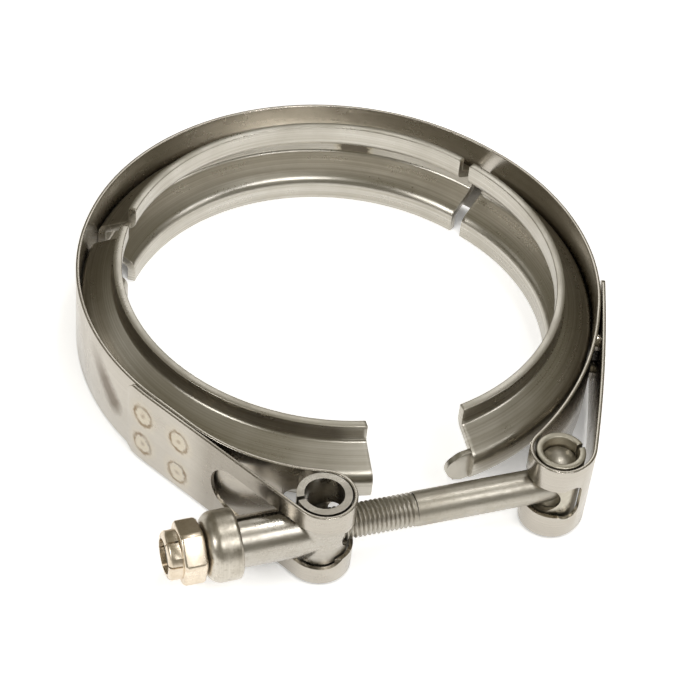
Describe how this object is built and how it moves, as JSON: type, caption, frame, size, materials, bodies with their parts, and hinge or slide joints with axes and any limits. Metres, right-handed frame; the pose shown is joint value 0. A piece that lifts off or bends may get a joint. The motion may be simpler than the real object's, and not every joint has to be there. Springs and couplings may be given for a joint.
{
  "type": "v band clamp",
  "caption": "V-band clamp: a thin steel strap with V-section retainers, drawn together by a T-bolt and lock nut, joins two flanged pipe ends.",
  "frame": {"origin": "axis of the ring at the lower edge of the retainers", "axes": "+Z along the ring's axis (up), the T-bolt lies along X in front of the ring, its nut at the -X end, the opening of the ring faces -Y"},
  "size_m": [0.1255, 0.1391, 0.0234],
  "materials": {
    "strap_steel": "bright rolled stainless",
    "retainer_steel": "rolled stainless with drawing marks",
    "trunnion_steel": "pressed stainless",
    "ferrule_steel": "drawn stainless",
    "nut_plate": "copper-tinted plating",
    "bolt_steel": "satin stainless",
    "sleeve_steel": "rolled stainless"
  },
  "bodies": {
    "band": {"strap": "strap_steel", "retainer_rear": "retainer_steel"},
    "left_half": {"retainer_left": "retainer_steel"},
    "right_half": {"retainer_right": "retainer_steel"},
    "saddle": {"trunnion": "trunnion_steel", "ferrule": "ferrule_steel"},
    "nut": {"lock_nut": "nut_plate"},
    "tee": {"tee_bolt": "bolt_steel", "sleeve": "sleeve_steel"}
  },
  "joints": [
    {"name": "left_flex", "type": "hinge", "parent": "band", "child": "left_half", "pos_m": [-0.0527, 0.03179, 0.0117], "axis": [0, 0, 1], "range_deg": [-0.6, 4.5], "deforming": ["strap"]},
    {"name": "right_flex", "type": "hinge", "parent": "band", "child": "right_half", "pos_m": [0.05118, 0.0342, 0.0117], "axis": [0, 0, 1], "range_deg": [-4.5, 0.6], "deforming": ["strap"]},
    {"name": "trunnion_pivot", "type": "hinge", "parent": "left_half", "child": "saddle", "pos_m": [-0.025, -0.06915, 0.0117], "axis": [0, 0, 1], "range_deg": [-5.3, 0.8]},
    {"name": "bolt_pivot", "type": "hinge", "parent": "right_half", "child": "tee", "pos_m": [0.03035, -0.06915, 0.0117], "axis": [0, 0, 1], "range_deg": [-0.6, 3.9]},
    {"name": "nut_turn", "type": "hinge", "parent": "saddle", "child": "nut", "pos_m": [-0.055, -0.06915, 0.0117], "axis": [1, 0, 0], "range_deg": [-720, 5400]}
  ],
  "couplings": [
    {"joint": "left_flex", "follows": "nut_turn", "ratio": 0.00083179},
    {"joint": "right_flex", "follows": "nut_turn", "ratio": -0.00083179},
    {"joint": "trunnion_pivot", "follows": "nut_turn", "ratio": -0.00096573},
    {"joint": "bolt_pivot", "follows": "nut_turn", "ratio": 0.00069785}
  ]
}
